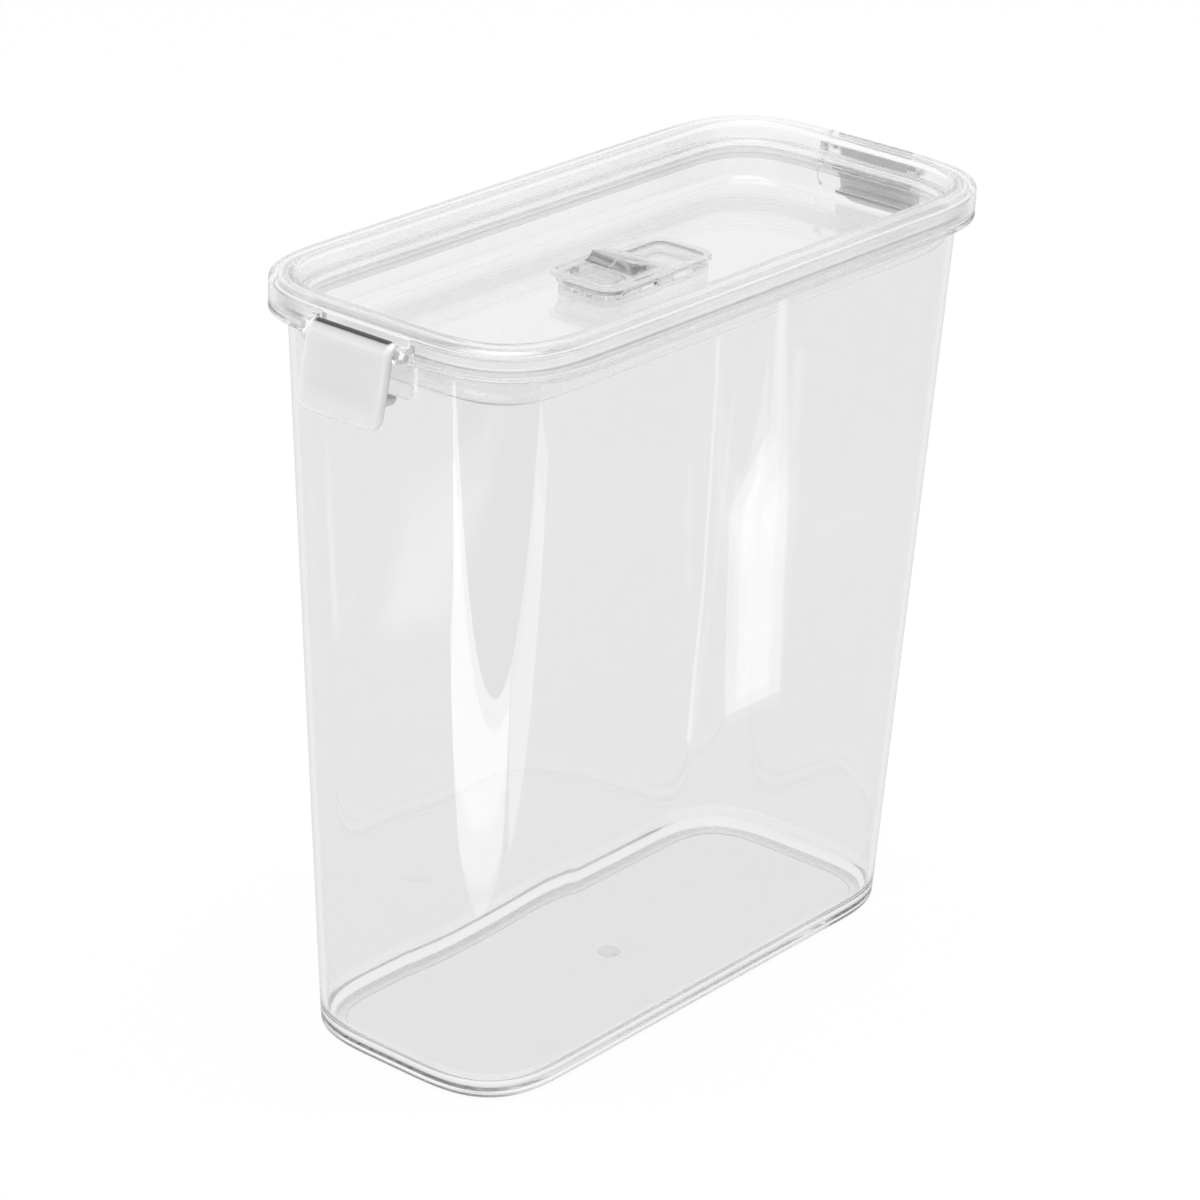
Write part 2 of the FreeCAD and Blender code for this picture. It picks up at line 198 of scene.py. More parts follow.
def plate(width, length, near_radius, far_radius, edge, bend,
          share=(0.25, 0.5, 0.75), steps=8, mark=no_marks):
    """A plate with round corners: y across, l from its near to its far end, h into its thickness.

    Its two faces are grids of rows in l, as wide as the outline there. The edge is a profile of
    (inset, h) points carried round the outline, from the rim of one face to the rim of the other.
    bend(y, l, h) puts every point in its place, and mark(y, l, h, inset) gives the points' named marks.
    """
    inset, depth = edge[:, 0, None], edge[:, 1, None]
    near = np.maximum(near_radius - inset, 0.02)
    far = np.maximum(far_radius - inset, 0.02)
    turn = np.linspace(0, math.pi / 2, steps + 1)[None, :]
    half = width / 2 - inset
    middle = (inset + near) + (length - 2 * inset - near - far) * np.array(share)[None, :]
    l = np.concatenate([
        inset + near * (1 - np.cos(turn)), middle,
        length - inset - far * (1 - np.cos(turn[:, ::-1]))], 1)
    reach = np.concatenate([
        half - near * (1 - np.sin(turn)), half + 0 * middle,
        half - far * (1 - np.sin(turn[:, ::-1]))], 1)
    across = np.concatenate([[-1, -0.98], np.linspace(-0.9, 0.9, 11), [0.98, 1]])
    rows, count = l.shape[1], len(across)
    y = reach[:, :, None] * across
    l = np.broadcast_to(l[:, :, None], y.shape)
    index = np.arange(rows * count).reshape(rows, count)
    rim = np.concatenate([index[0], index[1:, -1], index[-1, -2::-1], index[-2:0:-1, 0]])
    loops_y = y.reshape(len(edge), -1)[:, rim]
    loops_l = l.reshape(len(edge), -1)[:, rim]
    loops_h = np.broadcast_to(depth, loops_y.shape)
    faces = grid_faces(rows, count, close_columns=False)
    flat_y = [y[0].ravel(), y[-1].ravel(), loops_y.ravel()]
    flat_l = [l[0].ravel(), l[-1].ravel(), loops_l.ravel()]
    flat_h = [np.full(rows * count, edge[0, 1]), np.full(rows * count, edge[-1, 1]), loops_h.ravel()]
    flat_inset = [np.full(2 * rows * count, edge[0, 0]), np.broadcast_to(inset, loops_y.shape).ravel()]
    flat = [np.concatenate(values) for values in (flat_y, flat_l, flat_h, flat_inset)]
    back = faces + rows * count
    around = grid_faces(len(edge), len(rim)) + 2 * rows * count
    return bend(*flat[:3]), np.concatenate([faces, back, around]).tolist(), mark(*flat)


def bar(profile, low, high, edge, along):
    """A closed profile (u, v) carried along an axis from low to high, with its two ends rounded.

    Near an end every point moves against the profile's outward normal by edge * (1 - cos), while the
    axis runs by edge * sin. along(u, v, w) puts the points in their place.
    """
    profile = profile[np.linalg.norm(profile - np.roll(profile, 1, 0), axis=1) > 1e-4]
    tangent = np.roll(profile, -1, 0) - np.roll(profile, 1, 0)
    normal = np.stack([tangent[:, 1], -tangent[:, 0]], 1) / np.linalg.norm(tangent, axis=1)[:, None]
    area = (profile[:, 0] * np.roll(profile[:, 1], -1) - profile[:, 1] * np.roll(profile[:, 0], -1)).sum()
    turn = np.linspace(0, math.pi / 2, 5)
    inset = edge * (1 - np.sin(turn))
    run = edge * (1 - np.cos(turn))
    inset = np.concatenate([inset, inset[::-1]])
    place = np.concatenate([low + run, (high - run)[::-1]])
    rows = profile[None] - np.sign(area) * normal[None] * inset[:, None, None]
    grid = along(rows[..., 0], rows[..., 1], np.broadcast_to(place[:, None], rows.shape[:2]))
    count = len(profile)
    faces = grid_faces(len(place), count).tolist()
    faces += [list(range(count)), list(range((len(place) - 1) * count, len(place) * count))]
    return grid.reshape(-1, 3), faces, {}


def along_z(u, v, w):
    """A profile in (x, y) carried along Z."""
    return np.stack([u, v, w], -1)


def half_turned(shell):
    """The same shell at the other end of the container, turned half a turn about the upright axis."""
    points, *rest = shell
    return points * [-1, -1, 1], *rest


def build_piece(name, shells, material, sharp_degrees=38):
    """Joins closed shells, given in millimetres, into one piece whose faces point outwards.

    A shell is its points, its faces and a dictionary of marks, and each mark becomes a point attribute.
    """
    points = np.concatenate([shell[0] for shell in shells]) * mm
    faces = []
    count = 0
    for shell_points, shell_faces, marks in shells:
        faces += [[corner + count for corner in face] for face in shell_faces]
        count += len(shell_points)
    mesh = bpy.data.meshes.new(name)
    mesh.from_pydata(points, [], faces)
    for mark in {mark for shell in shells for mark in shell[2]}:
        values = [shell[2].get(mark, np.zeros(len(shell[0]))) for shell in shells]
        mesh.attributes.new(mark, "FLOAT", "POINT").data.foreach_set("value", np.concatenate(values))
    work = bmesh.new()
    work.from_mesh(mesh)
    bmesh.ops.remove_doubles(work, verts=work.verts, dist=hairline * mm / 8)
    bmesh.ops.recalc_face_normals(work, faces=work.faces)
    work.to_mesh(mesh)
    work.free()
    mesh.shade_smooth()
    mesh.set_sharp_from_angle(angle=math.radians(sharp_degrees))
    mesh.materials.append(material)
    piece = bpy.data.objects.new(name, mesh)
    bpy.context.scene.collection.objects.link(piece)
    return piece


def linear(code):
    """An sRGB hex colour as linear red, green, blue and alpha."""
    value = np.array([int(code[i:i + 2], 16) for i in (0, 2, 4)]) / 255
    value = np.where(value <= 0.04045, value / 12.92, ((value + 0.055) / 1.055) ** 2.4)
    return (*value.tolist(), 1.0)


def add_node(tree, kind, sockets=None, **settings):
    """Adds a node, sets its options, and fills each named socket with a value or a link."""
    node = tree.nodes.new(kind)
    for name, value in settings.items():
        setattr(node, name, value)
    for name, value in (sockets or {}).items():
        if isinstance(value, bpy.types.NodeSocket):
            tree.links.new(value, node.inputs[name])
        else:
            node.inputs[name].default_value = value
    return node


def empty_material(name):
    """A new material with no nodes in its tree."""
    material = bpy.data.materials.new(name)
    material.use_nodes = True
    material.node_tree.nodes.clear()
    return material


def clear_moulded_plastic(name, tint, depth_tint, depth_density, roughness, flow_mm, flow_height_mm,
                          haze_mm=14, frost_roughness=0.12, painted_light_tint="ffffff", shade_tint="505050"):
    """Water-clear styrene plastic from a polished mould.

    The eye gets glassy reflections that waver a little where the melt flowed, faint handling haze in
    soft patches, a soft glow from the etched faces that mate, and slightly greyer thick edges. The
    marks on the points say where it is etched (frost), painted paler as painted light (rim) or painted in
    shade (shade).
    """
    material = empty_material(name)
    tree = material.node_tree
    place = add_node(tree, "ShaderNodeTexCoord").outputs["Object"]
    flow = add_node(tree, "ShaderNodeTexNoise", {"Vector": place, "Scale": 1 / (flow_mm * mm), "Detail": 1.0})
    wave = add_node(tree, "ShaderNodeBump", {
        "Height": flow.outputs[0], "Strength": 1.0, "Distance": flow_height_mm * mm})
    patch = add_node(tree, "ShaderNodeTexNoise", {
        "Vector": place, "Scale": 1 / (haze_mm * mm), "Detail": 4.0})
    haze = add_node(tree, "ShaderNodeMapRange", {
        "Value": patch.outputs[0], "From Min": 0.35, "From Max": 0.75,
        "To Min": roughness, "To Max": roughness * 2.5})
    frost = add_node(tree, "ShaderNodeAttribute", attribute_name="frost")
    rough = add_node(tree, "ShaderNodeMath", {
        0: frost.outputs["Fac"], 1: frost_roughness, 2: haze.outputs[0]}, operation="MULTIPLY_ADD")
    rim = add_node(tree, "ShaderNodeAttribute", attribute_name="rim")
    shade = add_node(tree, "ShaderNodeAttribute", attribute_name="shade")
    # The rim mark paints the plastic paler, painted light; the shade mark paints it darker, painted shade
    with_painted_light = add_node(tree, "ShaderNodeMix", {
        "Factor": rim.outputs["Fac"], 6: linear(tint), 7: linear(painted_light_tint)}, data_type="RGBA")
    shaded = add_node(tree, "ShaderNodeMix", {
        "Factor": shade.outputs["Fac"], 6: with_painted_light.outputs[2], 7: linear(shade_tint)}, data_type="RGBA")
    surface = add_node(tree, "ShaderNodeBsdfPrincipled", {
        "Base Color": shaded.outputs[2], "Transmission Weight": 1.0, "IOR": plastic_ior,
        "Roughness": rough.outputs[0], "Normal": wave.outputs[0]})
    inside = add_node(tree, "ShaderNodeVolumeAbsorption", {
        "Color": linear(depth_tint), "Density": depth_density})
    add_node(tree, "ShaderNodeOutputMaterial", {"Surface": surface.outputs[0], "Volume": inside.outputs[0]})
    return material


def tub_outline(height):
    """Half length, half width and corner radius of the tub: tapered up to the flange, then upright."""
    share = np.clip(height / flange_bottom, 0, 1)
    return base_half[:, None] + (mouth_half - base_half)[:, None] * share


tub_profile = rounded_profile([
    (-foot_ring - foot_flat, foot_recess, 0),
    (-foot_ring, foot_recess, 0.3),
    (-foot_ring, 0, 0.4),
    (0, 0, foot_fillet),
    (0, foot_fillet + fillet_margin, 0),
    (0, flange_bottom, 0.6),
    (rim_overhang, flange_bottom, 0.5),
    (rim_overhang, flange_top, 0.5),
    (upstand_outside, flange_top, 0.3),
    (upstand_outside, upstand_top, 0.6),
    (upstand_inside, upstand_top, 0.6),
    (upstand_inside, flange_top, 0.3),
    (-tub_wall, flange_top, 0.7),
    (-tub_wall, tub_floor + floor_fillet + fillet_margin, 0),
    (-tub_wall, tub_floor, floor_fillet),
    (-tub_wall - floor_flat, tub_floor, 0),
])
tab_edge = rounded_profile([
    (1.2, 0, 0), (0, 0, 0.6), (0, tab_face - mouth_half[0] - rim_overhang - hairline, 0.4),
    (1.2, tab_face - mouth_half[0] - rim_overhang - hairline, 0)], steps=4, guard=0.1)
# Each catch tab carries the rim mark all over: painted paler, a painted highlight
catch_tab = plate(
    2 * tab_half_width, flange_top - tab_bottom, tab_corner, 0.6, tab_edge,
    lambda y, l, h: np.stack([tab_face - h, y, tab_bottom + l], 1),
    mark=lambda y, l, h, inset: {"rim": np.ones_like(y)})
around = np.linspace(0, 2 * math.pi, 32, endpoint=False)
gate_mark = bar(
    gate_mark_radius * np.stack([np.cos(around), np.sin(around)], 1),
    foot_recess - gate_mark_height, foot_recess - hairline, gate_mark_edge, along_z)
tub_plastic = clear_moulded_plastic(
    "clear SAN, polished mould, tub", tint="f3f3f3", depth_tint="808080", depth_density=1.5,
    roughness=0.012, flow_mm=45, flow_height_mm=0.02)
offset, height = tub_profile.T
fillet_top = np.where(offset > -tub_wall / 2, foot_fillet, tub_floor + floor_fillet)
rim_painted_light = (height > flange_bottom - row_margin) & (offset > -tub_wall + row_margin)
base_painted_light = (height < fillet_top + fillet_margin / 2) & (offset > -foot_ring - 2 * row_margin)
# The flange, the upstand and the edges at the base carry the rim mark: painted paler, a painted highlight
tub_body = cup(tub_profile, columns_round(), tub_outline, {
    "frost": (height > flange_top - row_margin) + foot_frost * (height < row_margin),
    "rim": rim_painted_light | base_painted_light})
tub = build_piece("tub_shell", [tub_body, catch_tab, half_turned(catch_tab), gate_mark], tub_plastic)
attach(tub, "tub")
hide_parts("tub")

# Lid gasket
# A soft ring of clear silicone, pressed onto the lid's plug from below. Its flat seat lies between the lid's
# ledge and the tub's flange, and its lip hangs inside the mouth.
gasket_inside = -3.35
gasket_seat_outside = 0.7
gasket_lip_outside = -2.45
gasket_lip_bottom = 228.6
ledge_bottom = 232.8


def straight_outline(half):
    """An outline whose half length, half width and corner radius are the same at every height."""
    return lambda height: np.repeat(half[:, None], len(height), 1)


def ring(profile, columns, outline, centre_x=0.0):
    """A closed shell: a closed profile carried round the outline, back to its start."""
    grid = sweep(profile, columns, outline) + [centre_x, 0, 0]
    return grid.reshape(-1, 3), grid_faces(*grid.shape[:2], close_rows=True).tolist(), {}


def soft_silicone(name, tint, speck_mm, skin_height_mm):
    """Clear platinum-cured silicone, moulded.

    The eye gets a milky, slightly dull skin that lets light in, with a fine speckle of settled dust.
    """
    material = empty_material(name)
    tree = material.node_tree
    place = add_node(tree, "ShaderNodeTexCoord").outputs["Object"]
    speck = add_node(tree, "ShaderNodeTexNoise", {
        "Vector": place, "Scale": 1 / (speck_mm * mm), "Detail": 3.0})
    dull = add_node(tree, "ShaderNodeMapRange", {
        "Value": speck.outputs[0], "From Min": 0.3, "From Max": 0.7, "To Min": 0.10, "To Max": 0.20})
    skin = add_node(tree, "ShaderNodeBump", {
        "Height": speck.outputs[0], "Strength": 0.3, "Distance": skin_height_mm * mm})
    surface = add_node(tree, "ShaderNodeBsdfPrincipled", {
        "Base Color": linear(tint), "Transmission Weight": 0.97, "IOR": 1.41,
        "Roughness": dull.outputs[0], "Normal": skin.outputs[0]})
    add_node(tree, "ShaderNodeOutputMaterial", {"Surface": surface.outputs[0]})
    return material


gasket_profile = rounded_profile([
    (gasket_inside, gasket_lip_bottom, 0.3),
    (gasket_lip_outside, gasket_lip_bottom, 0.3),
    (gasket_lip_outside, flange_top + hairline, 0.25),
    (gasket_seat_outside, flange_top + hairline, 0.25),
    (gasket_seat_outside, ledge_bottom - hairline, 0.25),
    (gasket_inside, ledge_bottom - hairline, 0.25),
], closed=True, steps=4, guard=0.1)
silicone = soft_silicone("clear silicone, moulded", tint="f3f4f4", speck_mm=0.8, skin_height_mm=0.02)
mouth_outline = straight_outline(mouth_half)
gasket = build_piece("lid_gasket_ring", [ring(gasket_profile, columns_round(), mouth_outline)], silicone)
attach(gasket, "lid")
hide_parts("lid_gasket")

# Lid
# A recessed tray moulded in the same clear plastic. Its rim drops over the tub's upstand, its plug hangs
# inside the mouth, and each end has a notch with two ears that hold a latch by its pins.
plug_outside = -3.4
lid_underside = 220.0
plug_neck = -0.2
channel_roof = 237.8
skirt_inside = 3.4
skirt_bottom = 232.0
lid_top = 240.0
well_mouth = -2.2
ledge_top = 234.8
well_inside = -5.4
well_floor = 222.0
well_fillet = 3.0
well_flat = 15.0
notch_half_width = 16.0
notch_margin = 0.5
pivot_x = 119.0
pivot_z = 234.2
ear_thickness = 2.6
ear_radius = 2.9
ear_edge = 0.4
pin_bore = 1.36
air_hole_x = -16.5
air_hole_spacing = 5.0
air_hole_radius = 1.5
air_hole_count = 3


def drilled_cup(profile, columns, outline, marks, holes):
    """A closed shell like cup(), with round holes (x, y, radius) from its first flat face to its last."""
    grid = sweep(profile, columns, outline)
    rows, count = grid.shape[:2]
    faces = grid_faces(rows, count).tolist()
    turn = np.linspace(0, 2 * math.pi, 24, endpoint=False)
    x, y, radius = np.array(holes).T[:, :, None]
    circles = np.stack([x + radius * np.cos(turn), y + radius * np.sin(turn)], -1)
    levels = []
    for row in (0, rows - 1):
        height = np.full((*circles.shape[:2], 1), grid[row, 0, 2])
        levels.append(np.concatenate([circles, height], -1))
    points = np.concatenate([grid.reshape(-1, 3), *(level.reshape(-1, 3) for level in levels)])
    edges = rows * count + np.arange(2 * circles.shape[0] * len(turn)).reshape(2, -1, len(turn))
    for row, rims in zip((0, rows - 1), edges):
        loops = [row * count + np.arange(count), *rims]
        outlines = [[Vector(spot) for spot in points[loop]] for loop in loops]
        faces += np.concatenate(loops)[np.array(tessellate_polygon(outlines))].tolist()
    for low, high in zip(*edges):
        faces += np.stack([low, np.roll(low, -1), np.roll(high, -1), high], -1).tolist()
    return points, faces, row_marks(marks, count, extra=edges.size)


def notched(shell, count, low, high, half_width):
    """Opens a swept shell between two profile rows over the middle of each end, and shuts it flat.

    The shell's first faces are its grid, row by row, so a face's place in the list is its row times the
    number of columns plus its column. The strip from the low row to the high row closes the roof of the
    notch, and a flat face over the rows between them closes each of its two cheeks.
    """
    points, faces, marks = shell
    edge = points[high * count:(high + 1) * count]
    within = (np.abs(edge[:, 0]) > mouth_half[0]) & (np.abs(edge[:, 1]) < half_width + notch_margin)
    strip = within & np.roll(within, -1)
    column = np.flatnonzero(strip)
    beside = (column + 1) % count
    kept = np.ones(len(faces), bool)
    kept[np.arange(low, high)[:, None] * count + column] = False
    roof = np.stack([
        low * count + column, low * count + beside, high * count + beside, high * count + column], 1)
    ends = np.flatnonzero(within & ~(strip & np.roll(strip, 1)))
    cheeks = np.arange(low, high + 1) * count + ends[:, None]
    points[cheeks, 1] = np.sign(edge[ends, 1])[:, None] * half_width
    return points, [*compress(faces, kept), *roof.tolist(), *cheeks.tolist()], marks


def lid_ear(low_y, high_y):
    """A rounded lug with a bore, whose rays from the pivot end at its flat sides or its round end."""
    turn = np.linspace(0, 2 * math.pi, 72, endpoint=False)
    cosine, sine = np.cos(turn), np.sin(turn)
    root = pivot_x - mouth_half[0] - rim_overhang - hairline
    reach = np.where(cosine < 0, root / np.maximum(-cosine, 1e-6), ear_radius)
    above_below = np.where(sine > 0, ear_radius, pivot_z - skirt_bottom)
    reach = np.minimum(reach, above_below / np.maximum(np.abs(sine), 1e-6))
    bevel = ear_edge * 0.3
    section = [
        (None, low_y), (ear_edge, low_y), (bevel, low_y + bevel), (0, low_y + ear_edge),
        (0, high_y - ear_edge), (bevel, high_y - bevel), (ear_edge, high_y), (None, high_y)]
    rows = []
    for inset, y in section:
        distance = np.full_like(reach, pin_bore) if inset is None else reach - inset
        rows.append(np.stack([
            pivot_x + distance * cosine, np.full_like(reach, y), pivot_z + distance * sine], 1))
    grid = np.array(rows)
    faces = grid_faces(*grid.shape[:2], close_rows=True).tolist()
    # The ears carry the rim mark all over: painted paler, a painted highlight
    return grid.reshape(-1, 3), faces, {"rim": np.ones(grid.shape[0] * grid.shape[1])}


lid_profile = rounded_profile([
    (well_inside - well_flat, lid_underside, 0),
    (plug_outside, lid_underside, well_fillet + well_floor - lid_underside),
    (plug_outside, ledge_bottom, 0.3),
    (plug_neck, ledge_bottom, 0.3),
    (plug_neck, channel_roof, 0.4),
    (skirt_inside, channel_roof, 0.4),
    (skirt_inside, skirt_bottom, 0.5),
    (rim_overhang, skirt_bottom, 0.5),
    (rim_overhang, channel_roof, 0),
    (rim_overhang, lid_top, 2.0),
    (well_mouth, lid_top, 1.4),
    (well_mouth, ledge_top, 0.5),
    (well_inside, ledge_top, 0.6),
    (well_inside, well_floor, well_fillet),
    (well_inside - well_flat, well_floor, 0),
])
rim_half = mouth_half + (skirt_inside + rim_overhang) / 2
notch_bend = (notch_half_width - rim_half[1]) / (rim_half[2] * corner_stretch) + 1
lid_columns = columns_round(marks=[np.interp(notch_bend, bend_path[:, 1], bend_length)])
air_holes = [
    (air_hole_x, (index - (air_hole_count - 1) / 2) * air_hole_spacing, air_hole_radius)
    for index in range(air_hole_count)]
# Every corner of the lid's profile has 9 rows, so a row's number tells its corner
corner_rows = 9
roof_row = 5 * corner_rows + 4
lid_side_row = 8 * corner_rows + 4
lid_rows = np.arange(len(lid_profile))
# Every row from the skirt's foot upwards and the bend at the plug's foot carry the rim mark: painted paler, a
# painted highlight
lid_marks = {
    "frost": (lid_rows > 2 * corner_rows) & (lid_rows < 6 * corner_rows + 4),
    "rim": (lid_profile[:, 1] > skirt_bottom - row_margin) | (lid_rows // corner_rows == 1)}
lid_body = notched(
    drilled_cup(lid_profile, lid_columns, mouth_outline, lid_marks, air_holes), len(lid_columns),
    roof_row, lid_side_row, notch_half_width)
ears = [
    lid_ear(notch_half_width, notch_half_width + ear_thickness),
    lid_ear(-notch_half_width - ear_thickness, -notch_half_width)]
lid_plastic = clear_moulded_plastic(
    "clear SAN, polished mould, lid", tint="f8f8f8", depth_tint="808080", depth_density=0.5,
    roughness=0.012, flow_mm=30, flow_height_mm=0.012)
lid = build_piece("lid_tray", [lid_body, *ears, *map(half_turned, ears)], lid_plastic)
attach(lid, "lid")
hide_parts("lid")

# Vent base
# A low clear frame that is welded to the middle of the lid's well. A rail runs round its top for the slider,
# and its shallow tray has the air holes.
vent_half = np.array([25.5, 11.7, 6.0])
vent_top = 227.6
rail_bottom = 226.0
rail_overhang = 0.9
tray_inset = 2.5
tray_floor = 225.2
tray_flat = 1.5
plate_bottom = 223.8
vent_shade = 0.8

vent_profile = rounded_profile([
    (-tray_inset - tray_flat, plate_bottom, 0),
    (-tray_inset, plate_bottom, 0.3),
    (-tray_inset, well_floor + hairline, 0.2),
    (-rail_overhang, well_floor + hairline, 0.2),
    (-rail_overhang, rail_bottom, 0.3),
    (0, rail_bottom, 0.3),
    (0, vent_top, 0.4),
    (-tray_inset, vent_top, 0.4),
    (-tray_inset, tray_floor, 0.5),
    (-tray_inset - tray_flat, tray_floor, 0),
], steps=4, guard=0.15)
# Every corner of the vent's profile has 7 rows, and the upper half of the tray's inner wall is in shade
vent_corner_rows = 7
wall_rows = np.arange(len(vent_profile)) > 7 * vent_corner_rows + 4
tray_wall = wall_rows & (vent_profile[:, 1] > (vent_top + tray_floor) / 2)
vent_plastic = clear_moulded_plastic(
    "clear SAN, polished mould, vent", tint="f3f3f3", depth_tint="808080", depth_density=2.0,
    roughness=0.015, flow_mm=9, flow_height_mm=0.02)
vent_body = drilled_cup(
    vent_profile, columns_round(steps=12), straight_outline(vent_half), {"shade": vent_shade * tray_wall},
    air_holes)
vent_base = build_piece("vent_base_frame", [vent_body], vent_plastic)
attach(vent_base, "lid")
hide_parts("vent_base")

# Vent seal
# A small silicone ring that is pressed into the tray round the air holes. The slider slides over it.
seal_half = np.array([4.5, 9.1, 4.4])
seal_wall = 1.3
seal_top = 227.5

seal_profile = rounded_profile([
    (-seal_wall, tray_floor + hairline, 0.2), (0, tray_floor + hairline, 0.2),
    (0, seal_top, 0.5), (-seal_wall, seal_top, 0.5)], closed=True, steps=4, guard=0.1)
seal_body = ring(seal_profile, columns_round(steps=10), straight_outline(seal_half), air_hole_x)
seal = build_piece("vent_seal_ring", [seal_body], silicone)
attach(seal, "lid")
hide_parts("vent_seal")

# Vent slider
# The cover that slides along the rail to open the air holes: a clear plate with round front corners and a
# raised panel, side lips, a clip foot under the rail at each side, and a scooped ridge for the finger.
slider_front = -26.5
slider_length = 30.5
slider_half_width = 12.85
slider_bottom = 227.7
slider_top = 229.2
slider_front_radius = 6.25
slider_rear_radius = 1.2
slider_rim = 4.0
panel_inset = 1.9
panel_step = 0.45
lip_inside = 11.95
lip_bottom = 226.5
foot_length = 7.5
foot_bottom = 224.75
hook_top = 225.75
hook_inside = 11.15
ridge_crest = -8.5
ridge_height = 2.2
ridge_length = 9.0
ridge_half_width = 9.3
scoop_length = 3.4
scoop_fade = 0.3
rib_half_width = 0.3
rib_thickness = 0.3


def along_x(u, v, w):
    """A profile in (y, z) carried along X."""
    return np.stack([w, u, v], -1)


def along_y(u, v, w):
    """A profile in (x, z) carried along Y."""
    return np.stack([u, w, v], -1)


def mirrored(shell):
    """The same shell on the other side of the lengthwise middle plane."""
    points, *rest = shell
    return points * [1, -1, 1], *rest


slider_rear = slider_front + slider_length
slider_edge = rounded_profile([
    (slider_rim, 0, 0), (panel_inset + 0.3, 0, 0.3), (panel_inset, panel_step, 0.3), (0, panel_step, 0.35),
    (0, slider_top - slider_bottom, 0.25), (slider_rim, slider_top - slider_bottom, 0)], steps=4, guard=0.1)
slider_plate = plate(
    2 * slider_half_width, slider_length, slider_rear_radius, slider_front_radius, slider_edge,
    lambda y, l, h: np.stack([slider_rear - l, y, slider_top - h], 1))
foot_rear = slider_rear - slider_rear_radius
lip_profile = rounded_profile([
    (lip_inside, lip_bottom, 0.2), (slider_half_width, lip_bottom, 0.3),
    (slider_half_width, slider_bottom - hairline, 0.1), (lip_inside, slider_bottom - hairline, 0.1),
], closed=True, steps=3, guard=0.1)
lip = bar(
    lip_profile, slider_front + slider_front_radius, foot_rear - foot_length - hairline, 0.3, along_x)
foot = bar(rounded_profile([
    (hook_inside, foot_bottom, 0.25), (slider_half_width, foot_bottom, 0.4),
    (slider_half_width, slider_bottom - hairline, 0.1), (lip_inside, slider_bottom - hairline, 0.1),
    (lip_inside, hook_top, 0.15), (hook_inside, hook_top, 0.2),
], closed=True, steps=3, guard=0.1), foot_rear - foot_length, foot_rear, 0.3, along_x)
ridge_foot = slider_top + hairline
ridge_top = slider_top + ridge_height
scoop_turn = np.linspace(0, math.pi / 2, 10)
scoop_x = ridge_crest - scoop_length * (1 - np.cos(scoop_turn))
scoop_z = ridge_top - (ridge_height - 2 * hairline) * np.sin(scoop_turn)
ridge = bar(rounded_profile([
    *((x, z, 0) for x, z in zip(scoop_x[1:], scoop_z[1:])),
    (scoop_x[-1], ridge_foot, 0),
    (ridge_crest + ridge_length, ridge_foot, 0.05),
    (ridge_crest + ridge_length, ridge_foot + 0.3, 0.15),
    (ridge_crest + ridge_height / 2, ridge_top, 0.8),
    (ridge_crest, ridge_top, 0.25),
], closed=True, steps=5, guard=0.1), -ridge_half_width, ridge_half_width, 0.02, along_y)
ridge_points, ridge_faces, ridge_marks = ridge
ridge_marks["shade"] = vent_shade * np.clip((ridge_crest + 0.2 - ridge_points[:, 0]) / scoop_fade, 0, 1)
rib_points = np.concatenate([
    np.stack([scoop_x, scoop_z], 1)[1:-1],
    np.stack([scoop_x - rib_thickness, scoop_z + rib_thickness], 1)[-2:0:-1]])
rib = bar(rib_points + [-hairline, hairline], -rib_half_width, rib_half_width, 0.02, along_y)
# The rib carries the rim mark: painted paler, a painted highlight along the scoop
rib[2]["rim"] = np.ones(len(rib[0]))
slider = build_piece(
    "vent_slider_cover", [slider_plate, lip, mirrored(lip), foot, mirrored(foot), ridge, rib], vent_plastic)
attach(slider, "vent_slider")
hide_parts("vent_slider")

# Latches
# One clip at each short end, moulded in a paler, slightly milky grade of the plastic. The panel curls over
# its pins at the top, and a hook on its back catches under the tub's tab.
latch_half_width = 15.5
latch_thickness = 2.8
latch_reach = 3.5
latch_lean = math.radians(12.1)
latch_bottom = 213.5
latch_corner = 4.5
latch_top_corner = 3.0
curl = math.radians(116)
latch_rim = 2.6
outer_edge = 1.3
inner_edge = 0.9
pin_radius = 1.3
hook_half_width = 13.0
hook_thickness = 2.2
hook_engagement = 1.5
hook_gap = 0.3
painted_border_width = 1.7
painted_fade = 0.6
gap_shadow_margin = 1.2
latch_run = (pivot_z + latch_reach * math.sin(latch_lean) - latch_bottom) / math.cos(latch_lean)
latch_length = latch_run + latch_reach * (curl - latch_lean)


def curled(y, l, h):
    """The panel's place: straight and leaning up to its tangent point on the curl, then round the pivot."""
    angle = latch_lean + np.maximum(l - latch_run, 0) / latch_reach
    below = np.minimum(l - latch_run, 0)
    radius = latch_reach - h
    x = pivot_x + radius * np.cos(angle) - below * math.sin(latch_lean)
    z = pivot_z + radius * np.sin(angle) + below * math.cos(latch_lean)
    return np.stack([x, y, z], 1)


